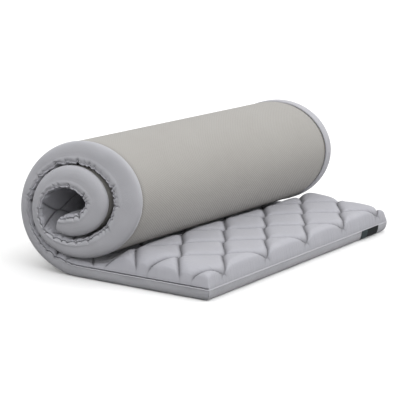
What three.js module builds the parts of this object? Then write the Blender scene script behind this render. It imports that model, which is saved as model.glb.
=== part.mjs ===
// Quilted roll-up mattress, partly rolled up and resting on its flat tail.
// Millimetres, +Z up. The tail end faces +X, the roll lies toward -X, and +Y runs along the roll.
// Every layer is placed by three coordinates that follow the mattress: s, the distance from the start
// of the bend towards the head end, y, the place across the width, and n, the height above the mesh side.
import * as THREE from "three";

// Driving dimensions of the mattress
const mattressLength = 1247; // developed along the mesh side
const mattressWidth = 600;
const tailLength = 210; // flat stretch along the near edge
const rollSkew = 0.018; // radians between the roll's axis and the tail end

// Driving dimensions of the roll
const layerPitch = 36.6; // mean spacing of the turns
const coreRadius = 42.2; // mean radius of the mesh side at the head end
const ovalShare = 0.267; // how far the turns sag out of round
const ovalTurn = -0.31; // radians, where the oval is widest
const turnDrift = 3.8; // how much more the turns open under and over the middle
const turnSag = 0.6; // and how much less on the outer side
const lobeRise = 6; // three flatter stretches in each turn
const lobeTurn = 0.66; // radians, the middle of the first of them
const segmentCount = 24; // slices of the core that turn against each other
const segmentGrowthShare = 0.22; // the slices turn more towards the tight middle

// Layers, from the underside up
const meshThickness = 3;
const waddingThickness = 4;
const quiltThickness = 3;
const layerGap = 0.3;
const pieceGap = 0.3;

// Heights of the quilted side above the underside
const tailEdgeHeight = 21;
const rollEdgeHeight = 30;
const headEdgeHeight = 18;
const tailEndCrown = 37; // stitched level behind the tail end
const tailRollCrown = 45; // stitched level where the tail swells against the roll
const contactCrown = 25; // stitched level where the roll lies on the tail
const rollCrown = 28.5; // stitched level of the rolled layers
const pressedDepth = 13; // how much thinner the layers are on the roll's outer side, and thicker inside
const pressedTurn = 0.31; // radians that the thinnest place lies ahead of the outermost one
const pressedFade = 300; // length before the head end over which this fades
const headCrown = 24; // stitched level near the head end
const edgeRound = 34; // how far the crown takes to fall to an edge
const headTaper = 38;
const swellEnd = 72; // where the swelling stops, before the bend starts
const swellFall = 50;
const edgeRise = 230; // length over which the side band grows to its rolled height

// Quilting in an ogee lattice: waves along the width that touch each other at stitched points
const cellLength = 71.3; // two waves, along the length
const cellWidth = 129.5; // one wave, across the width
const latticeLength = 39.1; // place of one stitched point, from the tail end
const latticeWidth = -18.9; // and from the near edge
const tailPuff = 5;
const rollPuff = 2;
const creaseWidth = 9;
const plainBorder = 26; // unquilted margin along the edges

// Bands round the edges
const bandThickness = 2;
const shoulderRadius = 9; // turns under onto the mesh side
const lipRadius = 4; // turns over onto the quilted side
const coreShoulderInset = 8.5; // keeps the core's lower edge off the shoulder
const arcSteps = 2;

// Woven label on the tail end band
const labelWidth = 52;
const labelHeight = 15;
const labelThickness = 0.6;
const labelFromCorner = 41;
const labelRise = 4.5;

// Fineness of the curved surfaces
const tailRowCount = 16;
const tailColumnCount = 36;
const rollColumnCount = 12;
const coreColumnCount = 2;
const segmentSteps = 2;
const edgeShares = [0, 0.28]; // of the rounding of an edge
const headStepShares = [0.24, 0.46, 0.66, 0.85, 1]; // of the last slice, closer to its end

const materials = {
  quilt: new THREE.MeshStandardMaterial({ color: "#bcbcc3", roughness: 0.9, metalness: 0 }),
  band: new THREE.MeshStandardMaterial({ color: "#95969c", roughness: 0.9, metalness: 0 }),
  mesh: new THREE.MeshStandardMaterial({ color: "#b2afa9", roughness: 0.95, metalness: 0 }),
  foam: new THREE.MeshStandardMaterial({ color: "#ece4cf", roughness: 1, metalness: 0 }),
  wadding: new THREE.MeshStandardMaterial({ color: "#f3f3f1", roughness: 1, metalness: 0 }),
  label: new THREE.MeshStandardMaterial({ color: "#17191b", roughness: 0.8, metalness: 0 }),
};

const lerp = THREE.MathUtils.lerp;
const smooth = (share) => THREE.MathUtils.smoothstep(share, 0, 1);
const cosSkew = Math.cos(rollSkew);
const sinSkew = Math.sin(rollSkew);

// A place given by its distance from the tail end, as a distance s from the start of the bend
const bendDistance = (fromTail, y) => (fromTail - tailLength) * cosSkew + y * sinSkew;
const headDistance = (y, inset = 0) => bendDistance(mattressLength - inset, y);

// Underside of the roll: an oval spiral whose mean radius falls by one pitch a turn
const rolledLength = mattressLength - tailLength;
const outerRadius = Math.sqrt(coreRadius ** 2 + (layerPitch * rolledLength) / Math.PI);
function radiusAt(turn) {
  const mean = outerRadius - (layerPitch * turn) / (2 * Math.PI);
  const oval = mean * (1 + ovalShare * Math.cos(2 * (turn - ovalTurn)));
  const lobes = lobeRise * Math.cos(3 * (turn - lobeTurn));
  return oval + turnDrift * Math.cos(turn) - turnSag * Math.sin(turn) - lobes;
}

function traceSpiral() {
  const turnStep = 0.004;
  const points = [{ s: 0, x: -tailLength, z: 0, turn: 0 }];
  const reach = headDistance(mattressWidth);
  while (points[points.length - 1].s < reach) {
    const last = points[points.length - 1];
    const middle = last.turn + turnStep / 2;
    const stride = radiusAt(middle) * turnStep;
    points.push({
      s: last.s + stride,
      x: last.x - stride * Math.cos(middle),
      z: last.z + stride * Math.sin(middle),
      turn: last.turn + turnStep,
    });
  }
  return points;
}
const spiral = traceSpiral();

function interpolateSpiral(key, value) {
  let low = 0;
  let high = spiral.length - 1;
  while (high - low > 1) {
    const middle = (low + high) >> 1;
    if (spiral[middle][key] > value) high = middle;
    else low = middle;
  }
  const a = spiral[low];
  const b = spiral[high];
  const share = (value - a[key]) / (b[key] - a[key]);
  const mix = (name) => lerp(a[name], b[name], share);
  return { s: mix("s"), x: mix("x"), z: mix("z"), turn: mix("turn") };
}
const undersideAt = (s) => (s <= 0 ? { s, x: -tailLength - s, z: 0, turn: 0 } : interpolateSpiral("s", s));
const turnPoint = (turn) => interpolateSpiral("turn", turn);

// The roll's own plane, turned by the skew into the mattress frame
function fromRollPlane(x, along, z) {
  const reach = x + tailLength;
  const worldX = -tailLength + reach * cosSkew + along * sinSkew;
  const worldY = -reach * sinSkew + along * cosSkew;
  return new THREE.Vector3(worldX, worldY, z);
}

function place(s, y, n) {
  const foot = undersideAt(s);
  const along = (y - s * sinSkew) / cosSkew;
  return fromRollPlane(foot.x + n * Math.sin(foot.turn), along, foot.z + n * Math.cos(foot.turn));
}

// Heights of the quilted side
function pressedIn(s, y) {
  const swing = Math.sin(undersideAt(s).turn + pressedTurn);
  return pressedDepth * swing * smooth(s / edgeRise) * smooth((headDistance(y) - s) / pressedFade);
}

function edgeHeight(s, y) {
  const rolled = lerp(tailEdgeHeight, rollEdgeHeight, smooth(s / edgeRise)) - pressedIn(s, y);
  const toHead = headDistance(y) - s;
  return lerp(headEdgeHeight, rolled, smooth(toHead / headTaper));
}

function crownHeight(s, y) {
  const swell = (s + tailLength) / (tailLength - swellEnd);
  const tail = lerp(tailEndCrown, tailRollCrown, THREE.MathUtils.clamp(swell, 0, 1));
  const rolled = lerp(contactCrown, rollCrown, smooth(s / edgeRise)) - pressedIn(s, y);
  const settled = lerp(tail, rolled, smooth((s + swellEnd) / swellFall));
  const toHead = headDistance(y) - s;
  return lerp(headCrown, settled, smooth(toHead / headTaper));
}

const quiltInset = lipRadius + pieceGap;
function roundedRise(distance) {
  const share = THREE.MathUtils.clamp(distance / edgeRound, 0, 1);
  return Math.sqrt(1 - (1 - share) ** 2);
}

function edgeDistances(s, y) {
  const fromTail = s - bendDistance(quiltInset, y);
  const fromHead = headDistance(y, quiltInset) - s;
  return [y - quiltInset, mattressWidth - quiltInset - y, fromTail, fromHead];
}

// Height of the stitched level, without the puffs between the stitches
function stitchedHeight(s, y) {
  const rise = edgeDistances(s, y).reduce((product, distance) => product * roundedRise(distance), 1);
  return lerp(edgeHeight(s, y), crownHeight(s, y), rise);
}

// Distance to the nearest wave of the lattice
function stitchDistance(fromTail, y) {
  const along = fromTail - latticeLength;
  const phase = (2 * Math.PI * (y - latticeWidth)) / cellWidth;
  const amplitude = cellLength / 4;
  const halfCell = cellLength / 2;
  const nearest = Math.round(along / halfCell - 1 / 2);
  let least = Infinity;
  for (const wave of [nearest - 1, nearest, nearest + 1]) {
    const sign = wave % 2 === 0 ? 1 : -1;
    const centre = (wave + 1 / 2) * halfCell - sign * amplitude * Math.cos(phase);
    const slope = (amplitude * 2 * Math.PI * Math.sin(phase)) / cellWidth;
    least = Math.min(least, Math.abs(along - centre) / Math.hypot(1, slope));
  }
  return least;
}

function quiltHeight(s, y) {
  const fromTail = (s - y * sinSkew) / cosSkew + tailLength;
  const margin = Math.min(...edgeDistances(s, y));
  const puff = lerp(tailPuff, rollPuff, smooth((s + swellEnd) / swellFall));
  const quilted = smooth(margin / plainBorder);
  const rounded = 1 - Math.exp(-stitchDistance(fromTail, y) / creaseWidth);
  return stitchedHeight(s, y) + puff * quilted * rounded;
}

const meshTop = () => meshThickness;
const coreUnderside = meshThickness + layerGap;
function coreBottom(s, y) {
  const [, , fromTail, fromHead] = edgeDistances(s, y);
  const share = Math.min(fromTail, fromHead) / (edgeShares[1] * edgeRound);
  return coreUnderside + meshThickness * Math.max(0, 1 - share);
}
const quiltBottom = (s, y) => stitchedHeight(s, y) - quiltThickness;
const waddingTop = (s, y) => quiltBottom(s, y) - layerGap;
const waddingBottom = (s, y) => waddingTop(s, y) - waddingThickness;
const coreTop = (s, y) => waddingBottom(s, y) - layerGap;

// The triangles of an end face, turned against the walls at the first ring and with them at the last
function capTriangles(outline, isFirst) {
  const turned = THREE.ShapeUtils.isClockWise(outline) !== isFirst;
  const triangles = THREE.ShapeUtils.triangulateShape([...outline], []);
  return turned ? triangles.map(([a, b, c]) => [c, b, a]) : triangles;
}

// A closed body from rings of points with equal counts, each ring given with its flat outline
function closedBody(rings) {
  const { outline } = rings[0];
  const count = outline.length;
  const triangles = [];
  for (let ring = 0; ring + 1 < rings.length; ring += 1) {
    for (let i = 0; i < count; i += 1) {
      const next = (i + 1) % count;
      const a = ring * count + i;
      const b = ring * count + next;
      // Upper and lower faces share the direction of their diagonals, so that layers nest
      const isForward = outline[next].x > outline[i].x;
      if (isForward) triangles.push([a, b, b + count], [a, b + count, a + count]);
      else triangles.push([a, b, a + count], [b, b + count, a + count]);
    }
  }
  const lastRing = rings.length - 1;
  const capStart = capTriangles(rings[0].outline, true);
  const capEnd = capTriangles(rings[lastRing].outline, false);
  triangles.push(...capStart, ...capEnd.map((corners) => corners.map((i) => i + lastRing * count)));
  const points = rings.flatMap((ring) => ring.points);
  const volume = triangles.reduce(
    (sum, [a, b, c]) => sum + points[a].dot(new THREE.Vector3().crossVectors(points[b], points[c])),
    0,
  );
  const facing = volume > 0 ? triangles : triangles.map(([a, b, c]) => [a, c, b]);
  const geometry = new THREE.BufferGeometry().setFromPoints(points);
  geometry.setIndex(facing.flat());
  return geometry;
}

// A ring of section points {y, n}, each at its own distance s
function makeRing(section, distanceOf) {
  const points = section.map(({ y, n }) => place(distanceOf(y), y, n));
  const outline = section.map(({ y, n }) => new THREE.Vector2(y, n));
  return { points, outline };
}

// Places across the width, closer together where the crown falls to the edges
function acrossPlaces(columnCount, inset = quiltInset, isFlat = false) {
  const edges = isFlat ? [] : edgeShares.map((share) => quiltInset + share * edgeRound);
  const reach = quiltInset + edgeRound;
  const inner = Array.from({ length: columnCount + 1 }, (_, i) =>
    lerp(reach, mattressWidth - reach, i / columnCount),
  );
  const places = [...edges, ...inner, ...edges.map((edge) => mattressWidth - edge).reverse()];
  const isInside = (y) => y > inset && y < mattressWidth - inset;
  return inset === quiltInset ? places : [inset, ...places.filter(isInside), mattressWidth - inset];
}

// The section of a layer, with its lower corners cut off where it meets the bands' shoulders
function layerSection({ places, lowerPlaces, bottom, top, isCore }, distanceOf) {
  const near = places[0];
  const far = places[places.length - 1];
  const level = (y) => ({ y, n: bottom(distanceOf(y), y) });
  const lower = isCore
    ? [
        { y: near, n: shoulderRadius },
        ...lowerPlaces.map(level),
        { y: far, n: shoulderRadius },
      ]
    : lowerPlaces.map(level);
  const upper = [...places].reverse().map((y) => ({ y, n: top(distanceOf(y), y) }));
  return [...lower, ...upper];
}

const layerRings = (layer, distances) =>
  distances.map((distanceOf) => makeRing(layerSection(layer, distanceOf), distanceOf));

// Slices of the core turn about the corners of the polygon that touches the underside in each slice's middle
const middleDistance = headDistance(mattressWidth / 2);
const endTurn = undersideAt(middleDistance).turn;
const turnShare = (share) => share + segmentGrowthShare * (share ** 2 - share);
const middleTurn = (index) => endTurn * turnShare(index / (segmentCount + 1 / 2));
const boundaryTurn = (index) => (middleTurn(index - 1) + middleTurn(index)) / 2;
const boundaryDistance = (index) => turnPoint(boundaryTurn(index)).s;
const tailBodyEnd = boundaryDistance(1);

function hingePoint(index) {
  const before = index === 1 ? undersideAt(0) : turnPoint(middleTurn(index - 1));
  const after = turnPoint(middleTurn(index));
  const direction = (foot) => ({ x: -Math.cos(foot.turn), z: Math.sin(foot.turn) });
  const a = direction(before);
  const b = direction(after);
  const gap = { x: after.x - before.x, z: after.z - before.z };
  const reach = (gap.x * b.z - gap.z * b.x) / (a.x * b.z - a.z * b.x);
  return { x: before.x + a.x * reach, z: before.z + a.z * reach };
}

const mattress = new THREE.Group();
function addPiece(name, rings, material) {
  const mesh = new THREE.Mesh(closedBody(rings), material);
  mesh.name = name;
  mattress.add(mesh);
}

// Where the sections of the tail lie: rows up to the start of the bend, then the first degrees of it
function tailDistances(inset, rowCount) {
  const start = (y) => bendDistance(inset, y);
  const edges = rowCount > 1 ? edgeShares.map((share) => (y) => start(y) + share * edgeRound) : [start];
  const from = (y) => (rowCount > 1 ? start(y) + edgeRound : start(y));
  const first = rowCount > 1 ? 0 : 1;
  const rows = [];
  for (let i = first; i <= rowCount; i += 1) rows.push((y) => lerp(from(y), 0, i / rowCount));
  return [...edges, ...rows, () => tailBodyEnd / 2, () => tailBodyEnd - pieceGap / 2];
}

// Where the sections of one slice of the roll lie
function sliceDistances(index, inset) {
  const start = boundaryDistance(index);
  if (index === segmentCount) {
    return headStepShares.map((share) => (y) => lerp(start, headDistance(y, inset), share));
  }
  const steps = Array.from({ length: segmentSteps }, (_, i) => (i + 1) / segmentSteps);
  return steps.map((share) => () => lerp(start, boundaryDistance(index + 1), share));
}

function rollDistances(inset) {
  const distances = [() => tailBodyEnd + pieceGap / 2];
  for (let index = 1; index <= segmentCount; index += 1) distances.push(...sliceDistances(index, inset));
  return distances;
}

const meshInset = shoulderRadius + pieceGap;
function addMeshBase() {
  const places = acrossPlaces(coreColumnCount, meshInset, true);
  const layer = { places, lowerPlaces: places, bottom: () => 0, top: meshTop };
  addPiece("mesh_base_tail", layerRings(layer, tailDistances(meshInset, 1)), materials.mesh);
  addPiece("mesh_base_roll", layerRings(layer, rollDistances(meshInset)), materials.mesh);
}

function addCore() {
  const places = acrossPlaces(coreColumnCount);
  const lowerPlaces = acrossPlaces(coreColumnCount, coreShoulderInset, true);
  const layer = { places, lowerPlaces, bottom: coreBottom, top: coreTop, isCore: true };
  addPiece("foam_core_tail", layerRings(layer, tailDistances(quiltInset, tailRowCount)), materials.foam);
  for (let index = 1; index <= segmentCount; index += 1) {
    const distances = sliceDistances(index, quiltInset);
    const isLast = index === segmentCount;
    if (!isLast) distances[segmentSteps - 1] = () => boundaryDistance(index + 1) - pieceGap / 2;
    distances.unshift(() => boundaryDistance(index) + pieceGap / 2);
    addPiece(`foam_core_${String(index).padStart(2, "0")}`, layerRings(layer, distances), materials.foam);
  }
}

function addWadding() {
  const places = acrossPlaces(coreColumnCount);
  const layer = { places, lowerPlaces: places, bottom: waddingBottom, top: waddingTop };
  const tail = layerRings(layer, tailDistances(quiltInset, tailRowCount));
  addPiece("quilt_wadding_tail", tail, materials.wadding);
  addPiece("quilt_wadding_roll", layerRings(layer, rollDistances(quiltInset)), materials.wadding);
}

function addQuiltedTop() {
  const shape = { lowerPlaces: acrossPlaces(coreColumnCount), bottom: quiltBottom, top: quiltHeight };
  const tailLayer = { places: acrossPlaces(tailColumnCount), ...shape };
  const tail = layerRings(tailLayer, tailDistances(quiltInset, tailRowCount));
  addPiece("quilted_top_tail", tail, materials.quilt);
  const rollLayer = { places: acrossPlaces(rollColumnCount), ...shape };
  addPiece("quilted_top_roll", layerRings(rollLayer, rollDistances(quiltInset)), materials.quilt);
}

// The band's section as offsets from the outer face and heights: shoulder, straight side and lip
function bandOutline(height) {
  const quarter = Array.from({ length: arcSteps + 1 }, (_, i) => (i * Math.PI) / (2 * arcSteps));
  const arc = (radius, inset, centre, sign) =>
    quarter.map((angle) => {
      const reach = radius - inset;
      const along = sign < 0 ? Math.sin(angle) : Math.cos(angle);
      const up = sign < 0 ? Math.cos(angle) : Math.sin(angle);
      return { e: radius - reach * along, n: centre + sign * reach * up };
    });
  const shoulder = (inset) => arc(shoulderRadius, inset, shoulderRadius, -1);
  const lip = (inset) => arc(lipRadius, inset, height - lipRadius, 1);
  const outer = [...shoulder(0), ...lip(0)];
  const inner = [...shoulder(bandThickness), ...lip(bandThickness)];
  return [...outer, ...inner.reverse()];
}

function addSideBand(side, isFar) {
  const across = (e) => (isFar ? mattressWidth - e : e);
  const ringAt = (distanceOf) => {
    const section = bandOutline(edgeHeight(distanceOf(across(0)), across(0)));
    const points = section.map(({ e, n }) => place(distanceOf(across(e)), across(e), n));
    const outline = section.map(({ e, n }) => new THREE.Vector2(across(e), n));
    return { points, outline };
  };
  const offset = (y) => (isFar ? mattressWidth - y : y);
  const tail = tailDistances(0, 1);
  tail[0] = (y) => bendDistance(offset(y) + pieceGap, y);
  addPiece(`side_band_${side}_tail`, tail.map(ringAt), materials.band);
  const roll = rollDistances(0);
  headStepShares.forEach((share, i) => {
    const end = (y) => headDistance(y, offset(y) + pieceGap);
    const ring = roll.length - headStepShares.length + i;
    roll[ring] = (y) => lerp(boundaryDistance(segmentCount), end(y), share);
  });
  addPiece(`side_band_${side}_roll`, roll.map(ringAt), materials.band);
}

function addEndBand(name, distanceOf, height, stepCount) {
  const section = bandOutline(height);
  const outline = section.map(({ e, n }) => new THREE.Vector2(e, n));
  const rings = Array.from({ length: stepCount + 1 }, (_, i) => {
    const points = section.map(({ e, n }) => {
      const y = lerp(e + pieceGap, mattressWidth - e - pieceGap, i / stepCount);
      return place(distanceOf(e, y), y, n);
    });
    return { points, outline };
  });
  addPiece(name, rings, materials.band);
}

function addLabel() {
  const near = mattressWidth - labelFromCorner - labelWidth;
  const outer = -pieceGap - labelThickness;
  const section = [
    { e: outer, n: labelRise },
    { e: outer, n: labelRise + labelHeight },
    { e: -pieceGap, n: labelRise + labelHeight },
    { e: -pieceGap, n: labelRise },
  ];
  const outline = section.map(({ e, n }) => new THREE.Vector2(e, n));
  const rings = [near, near + labelWidth].map((y) => ({
    points: section.map(({ e, n }) => place(bendDistance(e, y), y, n)),
    outline,
  }));
  addPiece("woven_label", rings, materials.label);
}

addMeshBase();
addCore();
addWadding();
addQuiltedTop();
addSideBand("near", false);
addSideBand("far", true);
addEndBand("end_band_tail", (e, y) => bendDistance(e, y), tailEdgeHeight, 1);
addEndBand("end_band_head", (e, y) => headDistance(y, e), headEdgeHeight, headStepShares.length);
addLabel();

// The origin is under the middle of the object's box, on the surface it rests on
const box = new THREE.Box3().setFromObject(mattress);
const centre = box.getCenter(new THREE.Vector3());
mattress.position.set(-centre.x, -centre.y, -box.min.z);

// Hinge lines between the slices, in the object's own frame, and how far each slice turns to lie flat
mattress.userData.hinges = Array.from({ length: segmentCount }, (_, i) => {
  const corner = hingePoint(i + 1);
  const point = fromRollPlane(corner.x, mattressWidth / 2, corner.z).add(mattress.position);
  return { point: point.toArray(), turn: middleTurn(i + 1) - middleTurn(i) };
});
mattress.userData.hingeAxis = [sinSkew, cosSkew, 0];

export default mattress;
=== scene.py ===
# Quilted roll-up mattress, partly rolled up on its flat tail.
# Each layer is made flat, as it is sewn: s runs along the mattress from the start of the bend,
# y across it, and n up from the mesh side. The layer is then rolled up and cut where the slices
# of the core turn.
import math

import bpy
import numpy as np
from mathutils import Matrix, Vector


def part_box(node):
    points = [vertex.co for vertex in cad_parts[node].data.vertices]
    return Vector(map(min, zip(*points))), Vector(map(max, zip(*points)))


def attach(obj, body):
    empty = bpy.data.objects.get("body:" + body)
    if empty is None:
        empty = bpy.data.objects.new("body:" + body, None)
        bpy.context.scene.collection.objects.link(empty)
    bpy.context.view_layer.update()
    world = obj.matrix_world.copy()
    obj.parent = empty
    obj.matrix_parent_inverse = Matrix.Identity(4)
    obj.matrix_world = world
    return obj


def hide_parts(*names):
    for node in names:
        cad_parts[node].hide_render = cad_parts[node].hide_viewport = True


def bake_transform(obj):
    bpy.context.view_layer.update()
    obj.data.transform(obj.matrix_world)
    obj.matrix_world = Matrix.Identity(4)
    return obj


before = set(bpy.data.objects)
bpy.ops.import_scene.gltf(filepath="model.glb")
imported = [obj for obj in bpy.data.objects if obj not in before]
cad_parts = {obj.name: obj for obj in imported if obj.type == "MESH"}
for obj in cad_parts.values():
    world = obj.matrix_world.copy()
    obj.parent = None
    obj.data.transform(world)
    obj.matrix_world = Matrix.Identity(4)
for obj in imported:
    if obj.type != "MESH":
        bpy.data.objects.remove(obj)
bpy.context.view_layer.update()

mattress = {
    "length": 1.247,
    "width": 0.600,
    "tail": 0.210,  # flat stretch along the near edge
    "skew": 0.018,  # radians between the roll's axis and the tail end
    "pitch": 0.0366,  # mean spacing of the turns
    "coreRadius": 0.0422,
    "ovalShare": 0.267,
    "ovalTurn": -0.31,
    "turnDrift": 0.0038,
    "turnSag": 0.0006,
    "lobeRise": 0.006,
    "lobeTurn": 0.66,
    "traceStep": 0.004,
    "tracedTurn": 4.6 * math.pi,  # a little more than the roll turns
    "slices": 24,
    "sliceGrowthShare": 0.22,  # inner slices turn further than outer ones
    "gap": 0.0003,
}
cosSkew = math.cos(mattress["skew"])
sinSkew = math.sin(mattress["skew"])


def lerp(a, b, share):
    return a + (b - a) * share


def smooth(share):
    share = np.clip(share, 0, 1)
    return share * share * (3 - 2 * share)


def bendDistance(fromTail, y):
    return (fromTail - mattress["tail"]) * cosSkew + y * sinSkew


def tailEndDistance(y, inset=0.0):
    return bendDistance(inset, y)


def headDistance(y, inset=0.0):
    return bendDistance(mattress["length"] - inset, y)


# Underside of the roll: an oval spiral, a little three-lobed, whose mean radius falls by one pitch a turn
def traceSpiral():
    step = mattress["traceStep"]
    rolled = mattress["length"] - mattress["tail"]
    outer = math.sqrt(mattress["coreRadius"] ** 2 + mattress["pitch"] * rolled / math.pi)
    middle = np.arange(0, mattress["tracedTurn"], step) + step / 2
    mean = outer - mattress["pitch"] * middle / (2 * math.pi)
    radius = mean * (1 + mattress["ovalShare"] * np.cos(2 * (middle - mattress["ovalTurn"])))
    radius += mattress["turnDrift"] * np.cos(middle) - mattress["turnSag"] * np.sin(middle)
    radius -= mattress["lobeRise"] * np.cos(3 * (middle - mattress["lobeTurn"]))
    stride = radius * step

    def summed(steps):
        return np.concatenate([[0.0], np.cumsum(steps)])

    return {
        "s": summed(stride),
        "x": -mattress["tail"] - summed(stride * np.cos(middle)),
        "z": summed(stride * np.sin(middle)),
        "turn": summed(np.full(len(middle), step)),
    }


spiral = traceSpiral()
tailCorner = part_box("end_band_tail")
frameShift = np.array([tailCorner[1].x, tailCorner[0].y - mattress["gap"], 0.0])


def turnAt(s):
    return np.where(s > 0, np.interp(s, spiral["s"], spiral["turn"]), 0.0)


def bodyName(index):
    return "tail" if index == 0 else f"slice_{index:02d}"


endTurn = np.interp(headDistance(mattress["width"] / 2), spiral["s"], spiral["turn"])


# Where the middle of a slice lies, as a distance along the underside
def sliceDistance(index):
    share = index / (mattress["slices"] + 0.5)
    turn = endTurn * (share + mattress["sliceGrowthShare"] * (share**2 - share))
    return float(np.interp(turn, spiral["turn"], spiral["s"]))


crowding = {
    "share": 0.965,  # of the height at which two slices would cross
    "start": 0.86,  # share of that from which the cloth is squeezed
}


# How far up from the underside the rolled layers can reach, at the middle of each slice
def traceReach():
    middles = np.array([sliceDistance(index) for index in range(mattress["slices"] + 1)])
    x, z, turn = (np.interp(middles, spiral["s"], spiral[key]) for key in ("x", "z", "turn"))
    reach = np.hypot(np.diff(x), np.diff(z)) / (2 * np.sin(np.diff(turn) / 2))
    reach = np.concatenate([reach[:1], np.minimum(reach[:-1], reach[1:]), reach[-1:]])
    return {"s": middles, "limit": reach * crowding["share"]}


reachOfBends = traceReach()


# Layers that are thicker than the inner turns have room for are squeezed
def squeezed(s, n):
    limit = np.interp(s, reachOfBends["s"], reachOfBends["limit"])
    start = crowding["start"] * limit
    over = np.maximum(n - start, 0.0)
    return np.minimum(n, start) + (limit - start) * (1 - np.exp(-over / (limit - start)))


# The point of the frame at s, y, n
def place(s, y, n):
    s, y, n = np.broadcast_arrays(s, y, n)
    bent = s > 0
    n = np.where(bent, squeezed(s, n), n)
    x = np.where(bent, np.interp(s, spiral["s"], spiral["x"]), -mattress["tail"] - s)
    z = np.where(bent, np.interp(s, spiral["s"], spiral["z"]), 0.0)
    turn = turnAt(s)
    reach = x + n * np.sin(turn) + mattress["tail"]
    along = (y - s * sinSkew) / cosSkew
    flatX = -mattress["tail"] + reach * cosSkew + along * sinSkew
    flatY = -reach * sinSkew + along * cosSkew
    return np.stack([flatX, flatY, z + n * np.cos(turn)], -1) + frameShift


print("mattress: rolled length", round(spiral["s"][-1], 3), "turning", round(float(endTurn), 2))

# Heights of the layers above the underside
layers = {
    "mesh": 0.003,
    "wadding": 0.004,
    "quilt": 0.003,
    "tailEdge": 0.021,  # along the seam between quilt and band
    "rollEdge": 0.030,
    "headEdge": 0.023,
    "tailEndCrown": 0.037,  # away from the seams
    "tailRollCrown": 0.045,
    "rollCrown": 0.0285,
    "contactCrown": 0.025,  # where the roll bears on its first stretch
    "headCrown": 0.028,
    "pressedDepth": 0.013,  # thinner on the roll's outer side, thicker inside
    "pressedTurn": 0.31,
    "pressedFade": 0.300,
    "edgeRound": 0.034,
    "tailEndRound": 0.016,
    "headTaper": 0.030,
    "swellEnd": 0.072,  # the flat tail swells up to this far from the bend
    "swellFall": 0.050,
    "edgeRise": 0.230,  # stretch over which the roll's own heights take over
    "seamInset": 0.0006,  # where the quilted side is sewn to the bands
    "hemRound": 0.0022,
    "hemDrop": 0.0009,
}


def pressedIn(s, y):
    swing = np.sin(turnAt(s) + layers["pressedTurn"])
    fade = smooth(s / layers["edgeRise"]) * smooth((headDistance(y) - s) / layers["pressedFade"])
    return layers["pressedDepth"] * swing * fade


def edgeHeight(s, y):
    rolled = lerp(layers["tailEdge"], layers["rollEdge"], smooth(s / layers["edgeRise"]))
    toHead = headDistance(y) - s
    return lerp(layers["headEdge"], rolled - pressedIn(s, y), smooth(toHead / layers["headTaper"]))


def crownHeight(s, y):
    swell = (s + mattress["tail"]) / (mattress["tail"] - layers["swellEnd"])
    tail = lerp(layers["tailEndCrown"], layers["tailRollCrown"], np.clip(swell, 0, 1))
    rolled = lerp(layers["contactCrown"], layers["rollCrown"], smooth(s / layers["edgeRise"]))
    fall = smooth((s + layers["swellEnd"]) / layers["swellFall"])
    settled = lerp(tail, rolled - pressedIn(s, y), fall)
    toHead = headDistance(y) - s
    return lerp(layers["headCrown"], settled, smooth(toHead / layers["headTaper"]))


def edgeDistances(s, y):
    inset = layers["seamInset"]
    far = mattress["width"] - inset - y
    return y - inset, far, s - tailEndDistance(y, inset), headDistance(y, inset) - s


# Height of the quilted side before it is puffed: rounded down to the edges
def stitchedHeight(s, y):
    rise = 1.0
    side = layers["edgeRound"]
    for distance, rounding in zip(edgeDistances(s, y), (side, side, layers["tailEndRound"], side)):
        share = np.clip(distance / rounding, 0, 1)
        rise = rise * np.sqrt(1 - (1 - share) ** 2)
    return lerp(edgeHeight(s, y), crownHeight(s, y), rise)


unevenness = {"waves": 7, "lengthSpread": (0.7, 1.4)}


# Smooth seeded unevenness of about one unit
def waver(s, y, wave, seed):
    random = np.random.default_rng(seed)
    total = 0.0
    for _ in range(unevenness["waves"]):
        angle, phase = random.uniform(0, 2 * math.pi, 2)
        reach = 2 * math.pi / (wave * random.uniform(*unevenness["lengthSpread"]))
        total = total + np.sin(reach * (s * math.cos(angle) + y * math.sin(angle)) + phase)
    return total / math.sqrt(unevenness["waves"])


# Small folds where the cloth on the inside of the roll is gathered along the edge
gathers = {
    "spacing": 0.0110,
    "width": 0.0021,
    "depth": 0.0036,
    "tailShare": 0.14,
    "slant": 0.5,
    "ontoQuilt": 0.026,
    "ontoBand": 0.016,
    "groove": 0.55,  # share of a fold that goes into the band's face
    "innerShare": 0.6,  # and of that, into the band's inner side
    "spacingSpread": (0.4, 1.7),
    "widthSpread": (0.6, 1.9),
    "depthSpread": (0.2, 1.0),
    "reachSpread": (0.4, 1.0),
    "bendStart": -0.01,
    "bendFade": 0.08,
    "headFade": 0.03,
    "deepest": 1.25,  # where folds fall on each other, in depths of one
    "seeds": {"near": 3, "far": 8},
}


def makeFolds(side):
    random = np.random.default_rng(gathers["seeds"][side])
    folds = []
    at = -mattress["tail"]
    while at < headDistance(mattress["width"]):
        at += gathers["spacing"] * random.uniform(*gathers["spacingSpread"])
        folds.append(
            {
                "at": at,
                "width": gathers["width"] * random.uniform(*gathers["widthSpread"]),
                "depth": gathers["depth"] * random.uniform(*gathers["depthSpread"]),
                "slant": gathers["slant"] * random.uniform(-1, 1),
                "reach": random.uniform(*gathers["reachSpread"]),
            }
        )
    return folds


foldsOfSide = {side: makeFolds(side) for side in ("near", "far")}


# Depth of the gathers at s and a distance from the seam, on cloth that they run into by up to the reach
def gatherDepth(s, fromSeam, folds, reach):
    total = np.zeros(np.broadcast(s, fromSeam).shape)
    for fold in folds:
        across = (s - fold["at"] - fold["slant"] * fromSeam) / fold["width"]
        fade = 1 - smooth(np.abs(fromSeam) / (reach * fold["reach"]))
        total += fold["depth"] * np.exp(-(across**2)) * fade
    bent = lerp(gathers["tailShare"], 1.0, smooth((s - gathers["bendStart"]) / gathers["bendFade"]))
    calm = smooth((headDistance(0) - s) / gathers["headFade"])
    return np.minimum(total, gathers["deepest"] * gathers["depth"]) * bent * calm


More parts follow.
